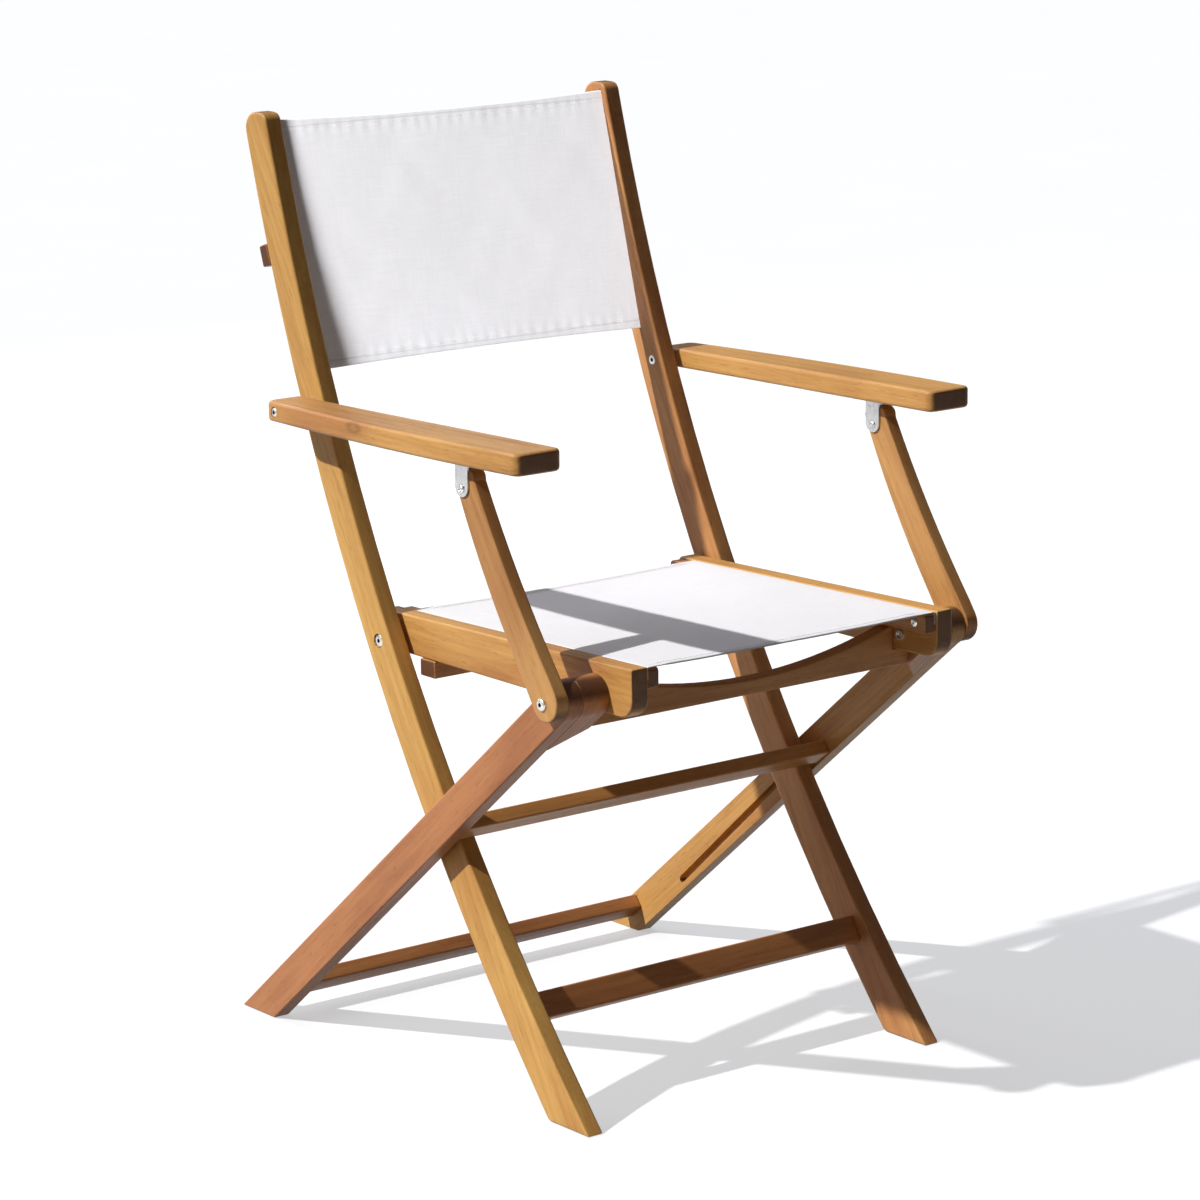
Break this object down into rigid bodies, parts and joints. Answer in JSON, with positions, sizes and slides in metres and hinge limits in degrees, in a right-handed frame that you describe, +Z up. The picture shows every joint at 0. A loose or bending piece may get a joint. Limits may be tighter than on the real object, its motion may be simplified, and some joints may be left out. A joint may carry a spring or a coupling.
{
  "type": "folding armchair",
  "caption": "Folding wooden armchair with curved posts, crossed legs, flat armrests on pivoted supports, and stretched white cloth for seat and back.",
  "frame": {"origin": "centre of the unfolded chair's footprint box, on the floor", "axes": "+Z up; the chair faces -Y; +X is the right-hand side of someone who looks at its front; the two sides mirror each other across X = 0"},
  "size_m": [0.5528, 0.573, 0.9],
  "materials": {
    "oiled_hardwood": "oiled, satin, straight grain along each board",
    "sling_cloth": "matt, fine woven",
    "zinc_steel": "zinc plated, satin"
  },
  "bodies": {
    "back_frame": {"post_l": "oiled_hardwood", "post_r": "oiled_hardwood", "front_stretcher": "oiled_hardwood", "back_crossbar": "oiled_hardwood", "back_sling": "sling_cloth", "nut_a_l": "zinc_steel", "nut_a_r": "zinc_steel", "bolt_a_l": "zinc_steel", "bolt_a_r": "zinc_steel", "washer_a_l": "zinc_steel", "washer_a_r": "zinc_steel", "bolt_b_l": "zinc_steel", "bolt_b_r": "zinc_steel", "washer_b_l": "zinc_steel", "washer_b_r": "zinc_steel", "slot_pin_l": "zinc_steel", "slot_pin_r": "zinc_steel"},
    "seat": {"seat_rail_l": "oiled_hardwood", "seat_rail_r": "oiled_hardwood", "seat_batten_l": "oiled_hardwood", "seat_batten_r": "oiled_hardwood", "seat_crossrail_front": "oiled_hardwood", "seat_crossrail_rear": "oiled_hardwood", "seat_sling": "sling_cloth", "batten_screw_l_1": "zinc_steel", "batten_screw_l_2": "zinc_steel", "batten_screw_l_3": "zinc_steel", "batten_screw_r_1": "zinc_steel", "batten_screw_r_2": "zinc_steel", "batten_screw_r_3": "zinc_steel", "nut_b_l": "zinc_steel", "nut_b_r": "zinc_steel", "bolt_c_shank_l": "zinc_steel", "bolt_c_shank_r": "zinc_steel", "nut_c_l": "zinc_steel", "nut_c_r": "zinc_steel"},
    "crossed_frame": {"crossed_leg_l": "oiled_hardwood", "crossed_leg_r": "oiled_hardwood", "spacer_block_l": "oiled_hardwood", "spacer_block_r": "oiled_hardwood", "crossed_stretcher_mid": "oiled_hardwood", "crossed_stretcher_rear": "oiled_hardwood"},
    "armrest_l": {"armrest_l": "oiled_hardwood", "arm_bracket_l": "zinc_steel", "bracket_screw_l": "zinc_steel", "bracket_rivet_l": "zinc_steel"},
    "arm_support_l": {"arm_support_l": "oiled_hardwood", "bolt_c_head_l": "zinc_steel"},
    "armrest_r": {"armrest_r": "oiled_hardwood", "arm_bracket_r": "zinc_steel", "bracket_screw_r": "zinc_steel", "bracket_rivet_r": "zinc_steel"},
    "arm_support_r": {"arm_support_r": "oiled_hardwood", "bolt_c_head_r": "zinc_steel"}
  },
  "joints": [
    {"name": "seat_fold", "type": "hinge", "parent": "back_frame", "child": "seat", "pos_m": [0, 0.0726, 0.4103], "axis": [-1, 0, 0], "range_deg": [0, 96]},
    {"name": "crossed_frame_fold", "type": "hinge", "parent": "seat", "child": "crossed_frame", "pos_m": [0, -0.2352, 0.4126], "axis": [1, 0, 0], "range_deg": [0, 30.5]},
    {"name": "armrest_fold_l", "type": "hinge", "parent": "back_frame", "child": "armrest_l", "pos_m": [-0.2205, 0.1709, 0.6237], "axis": [-1, 0, 0], "range_deg": [0, 98.9]},
    {"name": "arm_support_fold_l", "type": "hinge", "parent": "armrest_l", "child": "arm_support_l", "pos_m": [-0.24845, -0.1203, 0.5925], "axis": [1, 0, 0], "range_deg": [0, 110.4]},
    {"name": "armrest_fold_r", "type": "hinge", "parent": "back_frame", "child": "armrest_r", "pos_m": [0.2205, 0.1709, 0.6237], "axis": [-1, 0, 0], "range_deg": [0, 98.9]},
    {"name": "arm_support_fold_r", "type": "hinge", "parent": "armrest_r", "child": "arm_support_r", "pos_m": [0.24845, -0.1203, 0.5925], "axis": [1, 0, 0], "range_deg": [0, 110.4]}
  ],
  "couplings": [
    {"joint": "crossed_frame_fold", "follows": "seat_fold", "ratio": 0.3167},
    {"joint": "armrest_fold_l", "follows": "seat_fold", "ratio": 1.03},
    {"joint": "arm_support_fold_l", "follows": "seat_fold", "ratio": 1.15},
    {"joint": "armrest_fold_r", "follows": "seat_fold", "ratio": 1.03},
    {"joint": "arm_support_fold_r", "follows": "seat_fold", "ratio": 1.15}
  ]
}
